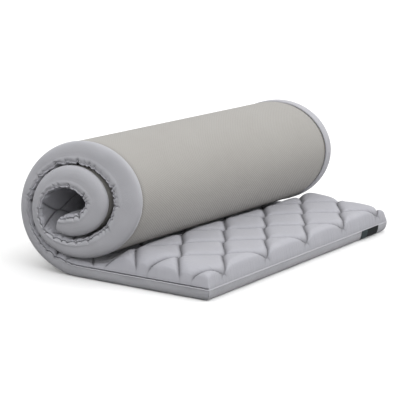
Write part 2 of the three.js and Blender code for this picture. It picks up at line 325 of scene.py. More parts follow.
endRows = {"tail": 17, "head": 16}


# Rows of a layer: fine at the rounded tail end, then even, with a row at the middle of each slice
def rowDistances(y, inset, pitch):
    start = tailEndDistance(y, inset)
    rounding = layers["tailEndRound"]
    turns = np.linspace(0, math.pi / 2, endRows["tail"])
    rows = [start + rounding * (1 - math.cos(turn)) for turn in turns]
    count = round((mattress["tail"] - rounding) / pitch)
    rows += [lerp(start + rounding, 0.0, step / count) for step in range(1, count + 1)]
    cuts = [0, len(rows) - 1]
    for index in range(1, mattress["slices"] + 1):
        low, high = sliceDistance(index - 1), sliceDistance(index)
        count = math.ceil((high - low) / pitch)
        rows += [np.full(len(y), lerp(low, high, step / count)) for step in range(1, count + 1)]
        cuts.append(len(rows) - 1)
    low = sliceDistance(mattress["slices"])
    end = headDistance(y, inset)
    turns = np.linspace(0, math.pi / 2, endRows["head"])[1:]
    rows += [lerp(low, end, math.sin(turn)) for turn in turns]
    cuts.append(len(rows) - 1)
    return np.array(rows), cuts


# Normals of a grid whose columns close into a ring
def ringNormals(points):
    along = np.gradient(points, axis=0)
    across = np.roll(points, -1, 1) - np.roll(points, 1, 1)
    normals = np.cross(across, along)
    return normals / np.maximum(np.linalg.norm(normals, axis=2, keepdims=True), 1e-12)


# Volume inside such a ring-shaped grid, below zero where its faces point inwards
def shellVolume(points):
    a, b = points[:-1], np.roll(points[:-1], -1, 1)
    d, c = points[1:], np.roll(points[1:], -1, 1)
    walls = np.einsum("ijk,ijk->", a, np.cross(b, c)) + np.einsum("ijk,ijk->", a, np.cross(c, d))
    for ring, sign in ((points[0], -1), (points[-1], 1)):
        fan = np.cross(ring, np.roll(ring, -1, 0))
        walls += sign * np.einsum("jk,jk->", fan, ring.mean(0) + 0 * ring)
    return walls / 6


def outwardNormals(points):
    isTurned = shellVolume(points) < 0
    return ringNormals(points) * (-1 if isTurned else 1), isTurned


def keepValues(mesh, values):
    for key, value in values.items():
        attribute = mesh.attributes.new(key, "FLOAT", "POINT")
        attribute.data.foreach_set("value", value.astype(np.float32).ravel())


# A closed mesh from a grid of points, its first and last rings capped
def closedMesh(name, points, normals, cloth, values, isTurned):
    rows, count = points.shape[:2]
    index = np.arange(rows * count).reshape(rows, count)
    beside = np.roll(index, -1, 1)
    quads = np.stack([index[:-1], beside[:-1], beside[1:], index[1:]], -1).reshape(-1, 4)
    caps = [index[0][::-1], index[-1]]
    if isTurned:
        quads = quads[:, ::-1]
        caps = [cap[::-1] for cap in caps]
    mesh = bpy.data.meshes.new(name)
    flatPoints = points.reshape(-1, 3)
    mesh.from_pydata(flatPoints.tolist(), [], quads.tolist() + [cap.tolist() for cap in caps])
    mesh.polygons.foreach_set("use_smooth", [True] * len(mesh.polygons))
    along = (points[-1] - points[0]).mean(0)
    along /= np.linalg.norm(along)
    corners = np.concatenate([quads.ravel(), *caps])
    cornerNormals = normals.reshape(-1, 3)[corners]
    cornerNormals[quads.size : quads.size + count] = -along
    cornerNormals[quads.size + count :] = along
    uvMap = mesh.uv_layers.new(name="cloth")
    uvMap.data.foreach_set("uv", cloth.reshape(-1, 2)[corners].astype(np.float32).ravel())
    keepValues(mesh, values)
    mesh.normals_split_custom_set(cornerNormals.tolist())
    return mesh


def addObject(name, data):
    thing = bpy.data.objects.new(name, data)
    bpy.context.scene.collection.objects.link(thing)
    return thing


def addPiece(name, mesh, material):
    piece = addObject(name, mesh)
    mesh.materials.append(material)
    return piece


# A piece between two slices of the core: reports it when it is too thick for its turn, and bakes its
# transform
def bendWithSlices(piece, points, index):
    middle = mattress["width"] / 2
    foot = place(sliceDistance(index - 1), middle, 0.0)
    ahead = place(sliceDistance(index), middle, 0.0)
    axis = ahead - place(sliceDistance(index), 0.0, 0.0)
    axis /= np.linalg.norm(axis)
    direction = ahead - foot
    direction -= (direction @ axis) * axis
    direction /= np.linalg.norm(direction)
    start = ((points[0] - foot) @ direction).max()
    end = ((points[-1] - foot) @ direction).min()
    if end - start < mattress["gap"]:
        print(piece.name, "is too thick for its turn by", round(1000 * (start - end), 2), "mm")
        start = end = (start + end) / 2
        end += mattress["gap"]
    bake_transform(piece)


# Cuts a rolled layer into its tail, a piece between each two slices, and its head
def cutLayer(label, points, cuts, cloth, values, material, cadNodes):
    normals, isTurned = outwardNormals(points)
    last = mattress["slices"] + 1
    for index in range(last + 1):
        part = {0: "tail", last: "head"}.get(index, f"{index:02d}")
        rows = slice(cuts[index], cuts[index + 1] + 1)
        ownValues = {key: value[rows] for key, value in values.items()}
        name = f"{label}_{part}"
        mesh = closedMesh(name, points[rows], normals[rows], cloth[rows], ownValues, isTurned)
        piece = addPiece(name, mesh, material)
        if index == 0:
            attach(piece, bodyName(0))
        elif index == last:
            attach(piece, bodyName(mattress["slices"]))
        else:
            bendWithSlices(piece, points[rows], index)
        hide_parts(cadNodes[0] if index == 0 else cadNodes[1])
    print(label, "rows", points.shape[0], "round", points.shape[1])


# An input takes a plain value, a socket, or a node, whose first output it then reads
def addNode(tree, kind, inputs=None, **settings):
    node = tree.nodes.new(kind)
    for key, value in settings.items():
        setattr(node, key, value)
    for key, value in (inputs or {}).items():
        if isinstance(value, bpy.types.Node):
            value = value.outputs[0]
        if isinstance(value, bpy.types.NodeSocket):
            tree.links.new(value, node.inputs[key])
        else:
            node.inputs[key].default_value = value
    return node


def colour(hexCode):
    values = [int(hexCode[i : i + 2], 16) / 255 for i in (0, 2, 4)]
    linear = [v / 12.92 if v <= 0.04045 else ((v + 0.055) / 1.055) ** 2.4 for v in values]
    return (*linear, 1.0)


# Distance to the nearest of the stitched waves, which run nearly straight between their turns, where
# each touches the next
def seamDistance(tree, along, across, cellLength, cellWidth):
    tight = quilting["straightness"]
    rows = [
        ("share", "DIVIDE", across, cellWidth),
        ("phase", "MULTIPLY", "share", 2 * math.pi),
        ("half", "DIVIDE", cellLength, 2.0),
        ("amplitude", "DIVIDE", cellLength, 4.0),
        ("cosine", "COSINE", "phase"),
        ("bent", "MULTIPLY", "cosine", tight),
        ("reach", "DIVIDE", "amplitude", math.asin(tight)),
        ("angle", "ARCSINE", "bent"),
        ("swing", "MULTIPLY", "reach", "angle"),
        ("steep", "MULTIPLY", "reach", 2 * math.pi * tight),
        ("steep", "DIVIDE", "steep", cellWidth),
        ("square", "MULTIPLY", "bent", "bent"),
        ("rest", "SUBTRACT", 1.0, "square"),
        ("held", "SQRT", "rest"),
        ("sine", "SINE", "phase"),
        ("slope", "MULTIPLY", "steep", "sine"),
        ("slope", "DIVIDE", "slope", "held"),
        ("slant", "MULTIPLY_ADD", "slope", "slope", 1.0),
        ("slant", "SQRT", "slant"),
        ("wavesAlong", "DIVIDE", along, "half"),
        ("wavesAlong", "SUBTRACT", "wavesAlong", 0.5),
        ("nearest", "ROUND", "wavesAlong"),
    ]
    for beside in (-1.0, 0.0, 1.0):
        rows += [
            ("wave", "ADD", "nearest", beside),
            ("turn", "MULTIPLY", "wave", math.pi),
            ("sign", "COSINE", "turn"),
            ("centre", "ADD", "wave", 0.5),
            ("centre", "MULTIPLY", "centre", "half"),
            ("line", "MULTIPLY", "sign", "swing"),
            ("line", "SUBTRACT", "centre", "line"),
            ("gap", "SUBTRACT", along, "line"),
            ("gap", "ABSOLUTE", "gap"),
            ("least", "MINIMUM", "least", "gap"),
        ]
    rows.append(("distance", "DIVIDE", "least", "slant"))
    made = {"least": cellLength}  # every gap is smaller
    for name, operation, *terms in rows:
        inputs = dict(enumerate(made[term] if isinstance(term, str) else term for term in terms))
        made[name] = addNode(tree, "ShaderNodeMath", inputs, operation=operation)
    return made["distance"]


clothFinish = {
    "sheenRoughness": 0.5,
    "mottleDetail": 4.0,
    "crinkleDetail": 3.0,
    "fineDetail": 2.0,
    "threadStrength": 0.6,
    "crinkleStrength": 0.7,
    "creaseShadePower": 2.0,
}


def startMaterial(name, look):
    material = bpy.data.materials.new(name)
    material.use_nodes = True
    shader = material.node_tree.nodes["Principled BSDF"]
    shader.inputs["Roughness"].default_value = look["roughness"]
    return material, material.node_tree, shader


# Cloth whose threads cross: its height is the product of two ripples, one along each thread
def clothMaterial(name, look):
    material, tree, shader = startMaterial(name, look)
    shader.inputs["Sheen Weight"].default_value = look["sheen"]
    shader.inputs["Sheen Roughness"].default_value = clothFinish["sheenRoughness"]
    shader.inputs["Specular IOR Level"].default_value = look["shine"]
    spot = addNode(tree, "ShaderNodeUVMap", uv_map="cloth")
    split = addNode(tree, "ShaderNodeSeparateXYZ", {0: spot})
    ripples = {}
    for axis, pitch in enumerate((look["threadAlong"], look["threadAcross"])):
        inputs = {0: split.outputs[axis], 1: 2 * math.pi / pitch}
        turn = addNode(tree, "ShaderNodeMath", inputs, operation="MULTIPLY")
        ripples[axis] = addNode(tree, "ShaderNodeMath", {0: turn}, operation="SINE")
    weave = addNode(tree, "ShaderNodeMath", ripples, operation="MULTIPLY")
    inputs = {"Vector": spot, "Scale": 1 / look["mottle"], "Detail": clothFinish["mottleDetail"]}
    mottle = addNode(tree, "ShaderNodeTexNoise", inputs)
    inputs = {0: mottle, 6: colour(look["dark"]), 7: colour(look["light"])}
    tint = addNode(tree, "ShaderNodeMix", inputs, data_type="RGBA")
    level = addNode(tree, "ShaderNodeMath", {0: weave, 1: 0.5, 2: 0.5}, operation="MULTIPLY_ADD")
    shade = addNode(tree, "ShaderNodeMapRange", {0: level, 3: look["threadShade"], 4: 1.0})
    inputs = {"Height": weave, "Distance": look["threadDepth"], "Strength": clothFinish["threadStrength"]}
    normal = addNode(tree, "ShaderNodeBump", inputs)
    inputs = {"Vector": spot, "Scale": 1 / look["crinkle"], "Detail": clothFinish["crinkleDetail"]}
    crinkles = addNode(tree, "ShaderNodeTexNoise", inputs)
    inputs = {"Height": crinkles, "Distance": look["crinkleDepth"], "Normal": normal}
    normal = addNode(tree, "ShaderNodeBump", {**inputs, "Strength": clothFinish["crinkleStrength"]})
    # Painted shade: the cloth is darkened where it creases, along the stitching and in the gathered folds
    if "creaseShade" in look:
        creaseShade = addNode(tree, "ShaderNodeAttribute", attribute_name="creaseShade").outputs["Fac"]
        inputs = {0: creaseShade, 1: clothFinish["creaseShadePower"]}
        deep = addNode(tree, "ShaderNodeMath", inputs, operation="POWER")
        dark = addNode(tree, "ShaderNodeMapRange", {0: deep, 3: 1.0, 4: look["creaseShade"]})
        shade = addNode(tree, "ShaderNodeMath", {0: shade, 1: dark}, operation="MULTIPLY")
    if "pucker" in look:
        inputs = {"Vector": spot, "Scale": (1 / look["puckerStretch"], 1, 1)}
        longer = addNode(tree, "ShaderNodeMapping", inputs)
        inputs = {"Vector": longer, "Scale": 1 / look["pucker"], "Detail": clothFinish["fineDetail"]}
        puckers = addNode(tree, "ShaderNodeTexNoise", inputs)
        near = addNode(tree, "ShaderNodeMath", {0: creaseShade}, operation="SQRT")
        pulled = addNode(tree, "ShaderNodeMath", {0: puckers, 1: near}, operation="MULTIPLY")
        inputs = {"Height": pulled, "Distance": look["puckerDepth"], "Strength": 1.0, "Normal": normal}
        normal = addNode(tree, "ShaderNodeBump", inputs)
    # Painted shade: thin dark lines along the stitched waves, where the panel sinks in
    if "stitch" in look:
        inputs = {0: split.outputs[0], 1: quilting["latticeLength"]}
        along = addNode(tree, "ShaderNodeMath", inputs, operation="SUBTRACT")
        inputs = {0: split.outputs[1], 1: quilting["latticeWidth"]}
        across = addNode(tree, "ShaderNodeMath", inputs, operation="SUBTRACT")
        distance = seamDistance(tree, along, across, quilting["cellLength"], quilting["cellWidth"])
        fall = addNode(tree, "ShaderNodeMath", {0: distance, 1: -look["stitch"]}, operation="DIVIDE")
        sunken = addNode(tree, "ShaderNodeMath", {0: fall}, operation="EXPONENT")
        near = addNode(tree, "ShaderNodeMath", {0: creaseShade, 1: 0.5}, operation="POWER")
        sunken = addNode(tree, "ShaderNodeMath", {0: sunken, 1: near}, operation="MULTIPLY")
        dark = addNode(tree, "ShaderNodeMapRange", {0: sunken, 3: 1.0, 4: look["stitchShade"]})
        shade = addNode(tree, "ShaderNodeMath", {0: shade, 1: dark}, operation="MULTIPLY")
        down = addNode(tree, "ShaderNodeMath", {0: sunken, 1: -1.0}, operation="MULTIPLY")
        inputs = {"Height": down, "Distance": look["stitchDepth"], "Strength": 1.0, "Normal": normal}
        normal = addNode(tree, "ShaderNodeBump", inputs)
    if "slub" in look:
        inputs = {"Vector": spot, "Rotation": (0, 0, look["slubTurn"])}
        longer = addNode(tree, "ShaderNodeMapping", {**inputs, "Scale": (1 / look["slubStretch"], 1, 1)})
        inputs = {"Vector": longer, "Scale": 1 / look["slub"], "Detail": clothFinish["fineDetail"]}
        streaks = addNode(tree, "ShaderNodeTexNoise", inputs)
        dark = addNode(tree, "ShaderNodeMapRange", {0: streaks, 3: look["slubShade"], 4: 1.0})
        shade = addNode(tree, "ShaderNodeMath", {0: shade, 1: dark}, operation="MULTIPLY")
        inputs = {"Height": streaks, "Distance": look["slubDepth"], "Strength": 1.0, "Normal": normal}
        normal = addNode(tree, "ShaderNodeBump", inputs)
    inputs = {0: tint.outputs[2], "Scale": shade}
    base = addNode(tree, "ShaderNodeVectorMath", inputs, operation="SCALE")
    tree.links.new(base.outputs[0], shader.inputs["Base Color"])
    tree.links.new(normal.outputs[0], shader.inputs["Normal"])
    return material


quilting = {
    "cellLength": 0.0713,  # two waves, along the length
    "cellWidth": 0.1295,  # one wave, across the width
    "latticeLength": 0.0391,
    "latticeWidth": -0.0189,
    "straightness": 0.93,
    "tailPuff": 0.0074,
    "rollPuff": 0.0026,
    "creaseWidth": 0.0046,
    "border": 0.0045,  # the stitching fades out this far from the edges
    "uneven": 0.0007,
    "unevenWave": 0.11,
    "unevenSeed": 21,
    "pitch": 0.0021,
    "columnPitch": 0.0042,
    "edgeColumns": 18,
    "coarserUnder": 5,  # times fewer columns on the hidden lower side
}

# Brushed polyester jersey, knitted: matt with a soft sheen; the stitched lines and the gathered folds get
# painted shade
quiltCloth = clothMaterial(
    "brushedPolyesterJersey",
    {
        "light": "B0B0B6",
        "dark": "A8A8AF",
        "roughness": 0.88,
        "sheen": 0.12,
        "shine": 0.3,
        "threadAlong": 0.0011,  # the real loops are 0.4 mm, too fine to show
        "threadAcross": 0.0011,
        "threadShade": 0.97,
        "threadDepth": 0.00012,
        "mottle": 0.045,
        "crinkle": 0.014,
        "crinkleDepth": 0.0007,
        "creaseShade": 0.72,
        "pucker": 0.0055,  # small pleats that the thread pulls across each stitched line
        "puckerStretch": 3.0,
        "puckerDepth": 0.0030,
        "stitch": 0.0017,
        "stitchShade": 0.42,
        "stitchDepth": 0.0016,
        "slub": 0.0028,  # fine streaks where the panel is drawn tight between the stitching
        "slubStretch": 14.0,
        "slubTurn": 0.6,
        "slubShade": 0.95,
        "slubDepth": 0.0005,
    },
)
# Plain woven polyester, calendered: smoother than the quilt, with painted shade in the pleats where it is
# gathered
bandCloth = clothMaterial(
    "plainWovenPolyester",
    {
        "light": "B3B3B8",
        "dark": "ABABB0",
        "roughness": 0.8,
        "sheen": 0.1,
        "shine": 0.35,
        "threadAlong": 0.0009,
        "threadAcross": 0.0009,
        "threadShade": 0.97,
        "threadDepth": 0.0001,
        "mottle": 0.06,
        "crinkle": 0.018,
        "crinkleDepth": 0.0006,
        "creaseShade": 0.62,
        "pucker": 0.004,
        "puckerStretch": 0.5,
        "puckerDepth": 0.0012,
    },
)
# Warp-knitted polyester spacer mesh: open cells between ribs, with almost no shine, and painted shade
# towards its seams
meshCloth = clothMaterial(
    "knittedSpacerMesh",
    {
        "light": "A3A19D",
        "dark": "9D9A96",
        "roughness": 0.92,
        "sheen": 0.1,
        "shine": 0.25,
        "threadAlong": 0.0034,
        "threadAcross": 0.0054,
        "threadShade": 0.92,
        "threadDepth": 0.0003,
        "mottle": 0.08,
        "crinkle": 0.05,
        "crinkleDepth": 0.0006,
        "creaseShade": 0.5,
    },
)
# Bonded polyester fibre wadding: white and woolly
waddingCloth = clothMaterial(
    "bondedFibreWadding",
    {
        "light": "F6F6F4",
        "dark": "E9E9E6",
        "roughness": 1.0,
        "sheen": 0.3,
        "shine": 0.1,
        "threadAlong": 0.004,
        "threadAcross": 0.003,
        "threadShade": 0.97,
        "threadDepth": 0.0003,
        "mottle": 0.01,
        "crinkle": 0.006,
        "crinkleDepth": 0.0015,
    },
)


# Raises a flat panel between the waves of stitching, and keeps how near to them each point lies, which
# also masks the painted shade along the stitching
def quiltingTree():
    tree = bpy.data.node_groups.new("quilting", "GeometryNodeTree")
    for name, kind in (
        ("Geometry", "NodeSocketGeometry"),
        ("Cell Length", "NodeSocketFloat"),
        ("Cell Width", "NodeSocketFloat"),
        ("Lattice Length", "NodeSocketFloat"),
        ("Lattice Width", "NodeSocketFloat"),
        ("Crease Width", "NodeSocketFloat"),
        ("Material", "NodeSocketMaterial"),
    ):
        tree.interface.new_socket(name, in_out="INPUT", socket_type=kind)
    tree.interface.new_socket("Geometry", in_out="OUTPUT", socket_type="NodeSocketGeometry")
    entry = addNode(tree, "NodeGroupInput").outputs
    position = addNode(tree, "GeometryNodeInputPosition")
    split = addNode(tree, "ShaderNodeSeparateXYZ", {0: position})
    inputs = {0: split.outputs[0], 1: entry["Lattice Length"]}
    along = addNode(tree, "ShaderNodeMath", inputs, operation="SUBTRACT")
    inputs = {0: split.outputs[1], 1: entry["Lattice Width"]}
    across = addNode(tree, "ShaderNodeMath", inputs, operation="SUBTRACT")
    distance = seamDistance(tree, along, across, entry["Cell Length"], entry["Cell Width"])
    fall = addNode(tree, "ShaderNodeMath", {0: distance, 1: entry["Crease Width"]}, operation="DIVIDE")
    fall = addNode(tree, "ShaderNodeMath", {0: fall, 1: -1.0}, operation="MULTIPLY")
    creaseShade = addNode(tree, "ShaderNodeMath", {0: fall}, operation="EXPONENT")
    puff = addNode(tree, "GeometryNodeInputNamedAttribute", {"Name": "puff"}, data_type="FLOAT")
    free = addNode(tree, "ShaderNodeMath", {0: 1.0, 1: creaseShade}, operation="SUBTRACT")
    lift = addNode(tree, "ShaderNodeMath", {0: puff, 1: free}, operation="MULTIPLY")
    upward = addNode(tree, "ShaderNodeCombineXYZ", {2: lift})
    inputs = {"Geometry": entry["Geometry"], "Offset": upward}
    raised = addNode(tree, "GeometryNodeSetPosition", inputs)
    stored = addNode(
        tree,
        "GeometryNodeStoreNamedAttribute",
        {"Geometry": raised, "Name": "creaseShade", "Value": creaseShade},
        data_type="FLOAT",
        domain="POINT",
    )
    realised = addNode(tree, "GeometryNodeRealizeInstances", {0: stored})
    inputs = {"Geometry": realised, "Material": entry["Material"]}
    finished = addNode(tree, "GeometryNodeSetMaterial", inputs)
    addNode(tree, "NodeGroupOutput", {0: finished})
    return tree


# Runs a tree on a flat mesh and returns the plain mesh that comes out
def runTree(tree, mesh, inputs):
    piece = addObject("flatPanel", mesh)
    modifier = piece.modifiers.new("nodes", "NODES")
    modifier.node_group = tree
    items = [item for item in tree.interface.items_tree if item.in_out == "INPUT"]
    sockets = {item.name: item.identifier for item in items}
    for name, value in inputs.items():
        modifier[sockets[name]] = value
    evaluated = piece.evaluated_get(bpy.context.evaluated_depsgraph_get())
    result = bpy.data.meshes.new_from_object(evaluated)
    bpy.data.objects.remove(piece)
    return result


def flatGrid(s, y, n, values):
    rows, count = s.shape
    index = np.arange(rows * count).reshape(rows, count)
    corners = [index[:-1, :-1], index[1:, :-1], index[1:, 1:], index[:-1, 1:]]
    quads = np.stack(corners, -1).reshape(-1, 4)
    mesh = bpy.data.meshes.new("flatPanel")
    points = np.stack([s, y, n], -1).reshape(-1, 3)
    mesh.from_pydata(points.tolist(), [], quads.tolist())
    keepValues(mesh, values)
    return mesh


# Columns across the panel: close together where the crown falls to the edges
def acrossColumns():
    rounding = layers["edgeRound"]
    turns = np.linspace(0, math.pi / 2, quilting["edgeColumns"])
    edge = layers["seamInset"] + rounding * (1 - np.cos(turns))
    inner = mattress["width"] - 2 * edge[-1]
    count = round(inner / quilting["columnPitch"])
    middle = edge[-1] + inner * np.arange(1, count) / count
    return np.concatenate([edge, middle, (mattress["width"] - edge)[::-1]])


def sideGathers(s, y, reach):
    inset = layers["seamInset"]
    near = gatherDepth(s, y - inset, foldsOfSide["near"], reach)
    far = gatherDepth(s, mattress["width"] - inset - y, foldsOfSide["far"], reach)
    return near + far


# How far the panel's edge curls down to its seam
def hemFall(s, y):
    margin = np.minimum.reduce(edgeDistances(s, y))
    share = 1 - np.clip(margin / layers["hemRound"], 0, 1)
    return layers["hemDrop"] * (1 - np.sqrt(1 - share**2))


def addQuiltedTop():
    columns = acrossColumns()
    s, cuts = rowDistances(columns, layers["seamInset"], quilting["pitch"])
    y = np.broadcast_to(columns, s.shape)
    fromTail = (s - y * sinSkew) / cosSkew + mattress["tail"]
    margin = np.minimum.reduce(edgeDistances(s, y))
    settle = smooth((s + layers["swellEnd"]) / layers["swellFall"])
    fade = smooth(margin / quilting["border"])
    puff = lerp(quilting["tailPuff"], quilting["rollPuff"], settle) * fade
    flat = flatGrid(fromTail, y, stitchedHeight(s, y), {"puff": puff})
    quilted = runTree(
        quiltingTree(),
        flat,
        {
            "Cell Length": quilting["cellLength"],
            "Cell Width": quilting["cellWidth"],
            "Lattice Length": quilting["latticeLength"],
            "Lattice Width": quilting["latticeWidth"],
            "Crease Width": quilting["creaseWidth"],
            "Material": quiltCloth,
        },
    )
    heights = np.empty(len(quilted.vertices) * 3, np.float32)
    quilted.vertices.foreach_get("co", heights)
    creaseShade = np.empty(len(quilted.vertices), np.float32)
    quilted.attributes["creaseShade"].data.foreach_get("value", creaseShade)
    top = heights.reshape(-1, 3)[:, 2].reshape(s.shape).astype(float)
    gathered = sideGathers(s, y, gathers["ontoQuilt"])
    # Mask of the painted shade: near the stitched lines and in the gathered folds
    creaseShade = np.maximum(creaseShade.reshape(s.shape) * fade, np.minimum(gathered / gathers["depth"], 1.0))
    uneven = waver(s, y, quilting["unevenWave"], quilting["unevenSeed"])
    top += quilting["uneven"] * uneven * smooth(margin / layers["edgeRound"])
    top -= gathered + hemFall(s, y)
    under = slice(None, None, -quilting["coarserUnder"])
    underS = s[:, under]
    underY = y[:, under]
    bottom = stitchedHeight(underS, underY) - layers["quilt"] - gathered[:, under]
    ringS = np.concatenate([s, underS], 1)
    ringY = np.concatenate([y, underY], 1)
    ringN = np.concatenate([top, bottom], 1)
    values = {"creaseShade": np.concatenate([creaseShade, 0 * underS], 1)}
    cutLayer(
        "quilted_cover",
        place(ringS, ringY, ringN),
        cuts,
        np.stack([(ringS - ringY * sinSkew) / cosSkew + mattress["tail"], ringY], -1),
        values,
        quiltCloth,
        ("quilted_top_tail", "quilted_top_roll"),
    )


# A plain layer between two heights
def addSlab(label, columns, inset, bottom, top, look, cadNodes, creaseAt=None):
    s, cuts = rowDistances(columns, inset, look["pitch"])
    y = np.broadcast_to(columns, s.shape)
    ringS = np.concatenate([s, s[:, ::-1]], 1)
    ringY = np.concatenate([y, y[:, ::-1]], 1)
    ringN = np.concatenate([top(s, y), bottom(s, y)[:, ::-1]], 1)
    cloth = np.stack([ringS, ringY], -1)
    points = place(ringS, ringY, ringN)
    values = {"creaseShade": creaseAt(ringS, ringY)} if creaseAt else {}
    cutLayer(label, points, cuts, cloth, values, look["material"], cadNodes)


meshCover = {
    "inset": 0.0114,
    "edgeDip": 0.0026,  # the cloth lies back from the bands' rolled hems
    "edgeFall": 0.012,
    "edgeCurve": 3,
    "shadeFade": 0.006,
    "pitch": 0.006,
    "columns": 44,
    "edgeColumns": 9,
    "edgeCrowding": 1.5,  # edge columns lie closer together towards the seam
    "material": meshCloth,
    "slot": "spacer_mesh",
}


def addMeshCover():
    inset = meshCover["inset"]
    shares = np.linspace(0, 1, meshCover["edgeColumns"]) ** meshCover["edgeCrowding"]
    edge = inset + meshCover["edgeFall"] * shares
    far = mattress["width"] - band["farStrip"]
    inner = np.linspace(edge[-1], far - edge[-1], meshCover["columns"])[1:-1]
    columns = np.concatenate([edge, inner, (far - edge)[::-1]])

    def fromSeam(s, y):
        sides = np.minimum(y, far - y) - inset
        ends = np.minimum(s - tailEndDistance(y, inset), headDistance(y, inset) - s)
        return np.minimum(sides, ends)

    def outside(s, y):
        rest = 1 - np.clip(fromSeam(s, y) / meshCover["edgeFall"], 0, 1)
        return meshCover["edgeDip"] * rest ** meshCover["edgeCurve"]

    # Painted shade towards the seams, where the mesh dips into the groove
    def creaseShade(s, y):
        return np.exp(-np.maximum(fromSeam(s, y), 0) / meshCover["shadeFade"])

    def inside(s, y):
        return layers["mesh"] + 0 * s

    nodes = ("mesh_base_tail", "mesh_base_roll")
    addSlab("mesh_cover", columns, inset, outside, inside, meshCover, nodes, creaseAt=creaseShade)


waddingSheet = {
    "inset": 0.012,
    "edgeDrop": 0.0015,
    "edgeFall": 0.030,
    "pitch": 0.012,
    "columns": 30,
    "material": waddingCloth,
    "slot": "wadding",
}


def addWaddingSheet():
    inset = waddingSheet["inset"]
    columns = np.linspace(inset, mattress["width"] - inset, waddingSheet["columns"])
    drop = layers["quilt"] + mattress["gap"]

    def above(s, y):
        margin = np.minimum.reduce(edgeDistances(s, y)) - inset
        pressed = waddingSheet["edgeDrop"] * (1 - smooth(margin / waddingSheet["edgeFall"]))
        return stitchedHeight(s, y) - drop - pressed

    def below(s, y):
        return stitchedHeight(s, y) - drop - layers["wadding"]

    nodes = ("quilt_wadding_tail", "quilt_wadding_roll")
    addSlab("wadding_sheet", columns, inset, below, above, waddingSheet, nodes)


band = {
    "thickness": 0.0014,
    "shoulder": 0.0092,  # how far the cloth turns under onto the mesh side
    "shoulderShare": 0.66,  # of the band's height on the roll
    "tailShoulderShare": 0.92,
    "shoulderPower": 1.2,
    "bulge": 0.0009,
    "lip": 0.0011,
    "hem": 0.0019,
    "proud": 0.0012,  # the rolled hem stands out of the mesh on the roll
    "farStrip": 0.012,  # more of the far band shows beside the mesh than of the near one
    "seamDrop": 0.0031,  # below the stitched edge of the quilted side
    "mitre": 0.0001,
    "pitch": 0.0017,
    "endSteps": 130,
    "hemPoints": 6,
    "shoulderPoints": 10,
    "sidePoints": 9,
    "lipPoints": 5,
    "uneven": 0.0005,
    "unevenWave": 0.07,
    "unevenSeeds": {"near": 31, "far": 32, "end": 41},
}


# The band's section, as heights and offsets from its outer face: hem, shoulder, side and lip, then back
# along the inner side
def bandSection(height, shoulderShare, strip=0.0):
    height = np.asarray(height, float)[:, None]
    hem = band["hem"]
    aroundHem = np.linspace(math.pi / 2, -math.pi / 2, band["hemPoints"])
    aroundShoulder = np.linspace(0, math.pi / 2, band["shoulderPoints"])
    upSide = np.linspace(0, 1, band["sidePoints"])[1:-1]
    aroundLip = np.linspace(0, math.pi / 2, band["lipPoints"])
    rise = np.reshape(shoulderShare, (-1, 1)) * height
    flat = np.ones_like(height)

    def contour(inset):
        shoulder = band["shoulder"] - inset
        lip = max(band["lip"] - inset, 0.0)
        offsets = [
            [band["shoulder"] + strip],
            band["shoulder"] - shoulder * np.sin(aroundShoulder),
            inset - band["bulge"] * np.sin(math.pi * upSide),
            band["lip"] + (inset - band["lip"]) * np.cos(aroundLip),
        ]
        heights = [
            inset + 0 * height,
            inset + (rise - inset) * (1 - np.cos(aroundShoulder)) ** band["shoulderPower"],
            lerp(rise, height - band["lip"], upSide),
            height - band["lip"] + lip * np.sin(aroundLip),
        ]
        return flat * np.concatenate(offsets), np.concatenate(heights, 1)

    outerOffsets, outerHeights = contour(0.0)
    innerOffsets, innerHeights = contour(band["thickness"])
    hemOffsets = flat * (band["shoulder"] + strip + hem * np.cos(aroundHem))
    hemHeights = flat * (hem + hem * np.sin(aroundHem))
    offsets = np.concatenate([hemOffsets, outerOffsets, innerOffsets[:, ::-1]], 1)
    heights = np.concatenate([hemHeights, outerHeights, innerHeights[:, ::-1]], 1)
    isOuter = np.arange(offsets.shape[1]) < hemOffsets.shape[1] + outerOffsets.shape[1]
    return offsets, heights, isOuter


# Length of cloth round the section, for its weave
def bandRun(offsets, heights):
    steps = np.hypot(np.diff(offsets[0]), np.diff(heights[0]))
    return np.concatenate([[0.0], np.cumsum(steps)])


def addSideBorder(side):
    isFar = side == "far"
    outerEdge = mattress["width"] if isFar else 0.0
    strip = band["farStrip"] if isFar else 0.0
    offsets = bandSection([layers["tailEdge"]], 1.0, strip)[0][0]
    across = mattress["width"] - offsets if isFar else offsets
    inset = np.minimum(offsets, band["shoulder"] + band["hem"]) + band["mitre"]
    s, cuts = rowDistances(across, inset, band["pitch"])
    height = (edgeHeight(s, outerEdge) - band["seamDrop"]).mean(1)
    rolled = smooth(s.mean(1) / layers["edgeRise"])
    share = lerp(band["tailShoulderShare"], band["shoulderShare"], rolled)
    e, heights, isOuter = bandSection(height, share, strip)
    upper = np.clip(heights / height[:, None], 0, 1)
    folds = gatherDepth(s, heights - height[:, None], foldsOfSide[side], gathers["ontoBand"])
    folds = folds * np.where(isOuter, 1.0, gathers["innerShare"])
    low = smooth(2 * upper - 1)
    e = e + gathers["groove"] * folds * smooth(3 * upper)
    uneven = waver(s, heights, band["unevenWave"], band["unevenSeeds"][side])
    e = e + band["uneven"] * uneven * isOuter * np.sin(math.pi * upper)
    y = mattress["width"] - e if isFar else e
    # Painted shade in the gathered folds of the band
    creaseShade = np.minimum(folds / gathers["depth"], 1.0) * isOuter
    sunk = folds * low + band["proud"] * smooth(s / layers["edgeRound"]) * smooth(1 - 2 * upper)
    cloth = np.stack([s, np.broadcast_to(bandRun(e, heights), s.shape)], -1)
    label = f"side_band_{side}"
    cutLayer(
        f"border_{side}",
        place(s, y, heights - sunk),
        cuts,
        cloth,
        {"creaseShade": creaseShade},
        bandCloth,
        (f"{label}_tail", f"{label}_roll"),
    )


